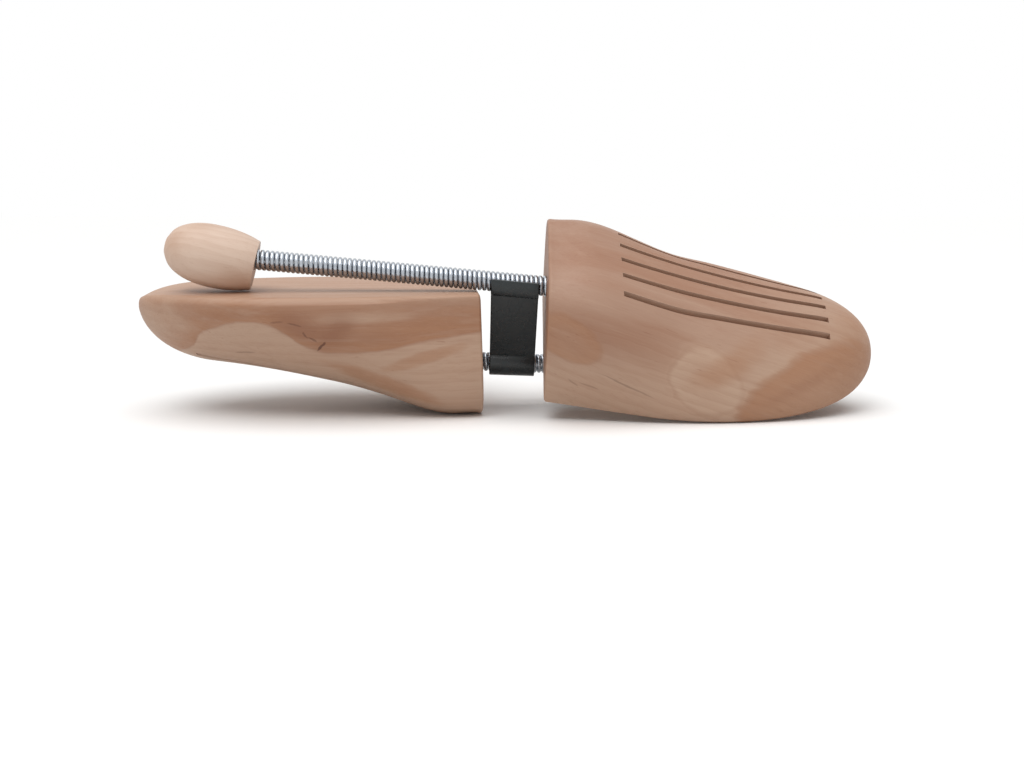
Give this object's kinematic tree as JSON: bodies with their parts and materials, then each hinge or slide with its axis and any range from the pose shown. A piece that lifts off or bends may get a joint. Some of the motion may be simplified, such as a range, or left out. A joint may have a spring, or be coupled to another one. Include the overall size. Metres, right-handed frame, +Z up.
{
  "type": "spring shoe tree pair",
  "caption": "Cedar spring shoe trees nested head to tail: grooved foreparts, coil springs and heel knobs, held by a black plastic clip.",
  "frame": {"origin": "centre of the bounding box in plan, on the floor that the nested pair lies on", "axes": "+X along the pair towards the right tree's toe, +Y away from the side seen in the picture, +Z up"},
  "size_m": [0.3154, 0.0916, 0.0829],
  "materials": {
    "cedar": "bare sanded satin",
    "cedar_knob": "bare sanded satin",
    "dowel_wood": "bare turned",
    "spring_steel": "bright drawn wire",
    "pin_steel": "plain",
    "clip_plastic": "black moulded, satin"
  },
  "bodies": {
    "left_tree": {"left_forepart": "cedar", "left_front_dowel": "dowel_wood", "left_front_pin": "pin_steel", "clip": "clip_plastic"},
    "left_coil": {"left_spring": "spring_steel"},
    "left_heel": {"left_heel_knob": "cedar_knob", "left_rear_dowel": "dowel_wood", "left_rear_pin": "pin_steel"},
    "right_tree": {"right_forepart": "cedar", "right_front_dowel": "dowel_wood", "right_front_pin": "pin_steel"},
    "right_coil": {"right_spring": "spring_steel"},
    "right_heel": {"right_heel_knob": "cedar_knob", "right_rear_dowel": "dowel_wood", "right_rear_pin": "pin_steel"}
  },
  "joints": [
    {"name": "left_flex_front", "type": "hinge", "parent": "left_tree", "child": "left_coil", "pos_m": [0.01575, 0.01179, 0.01867], "axis": [0, 0, 1], "range_deg": [0, 30], "stiffness_Nm_per_rad": 0.15, "deforming": ["left_spring"]},
    {"name": "left_flex_rear", "type": "hinge", "parent": "left_coil", "child": "left_heel", "pos_m": [0.07562, 0.01787, 0.01566], "axis": [0, 0, 1], "range_deg": [0, 30], "stiffness_Nm_per_rad": 0.15},
    {"name": "right_flex_front", "type": "hinge", "parent": "right_tree", "child": "right_coil", "pos_m": [-0.01468, -0.0154, 0.05808], "axis": [0.0125, 0.8305, 0.5569], "range_deg": [0, 30], "stiffness_Nm_per_rad": 0.15, "deforming": ["right_spring"]},
    {"name": "right_flex_rear", "type": "hinge", "parent": "right_coil", "child": "right_heel", "pos_m": [-0.07458, -0.01834, 0.0638], "axis": [0.0125, 0.8305, 0.5569], "range_deg": [0, 30], "stiffness_Nm_per_rad": 0.15},
    {"name": "right_lift", "type": "slide", "parent": "left_tree", "child": "right_tree", "axis": [0, 0, 1], "range_m": [0, 0.02]}
  ],
  "couplings": [
    {"joint": "left_flex_rear", "follows": "left_flex_front", "ratio": 1},
    {"joint": "right_flex_rear", "follows": "right_flex_front", "ratio": 1}
  ]
}
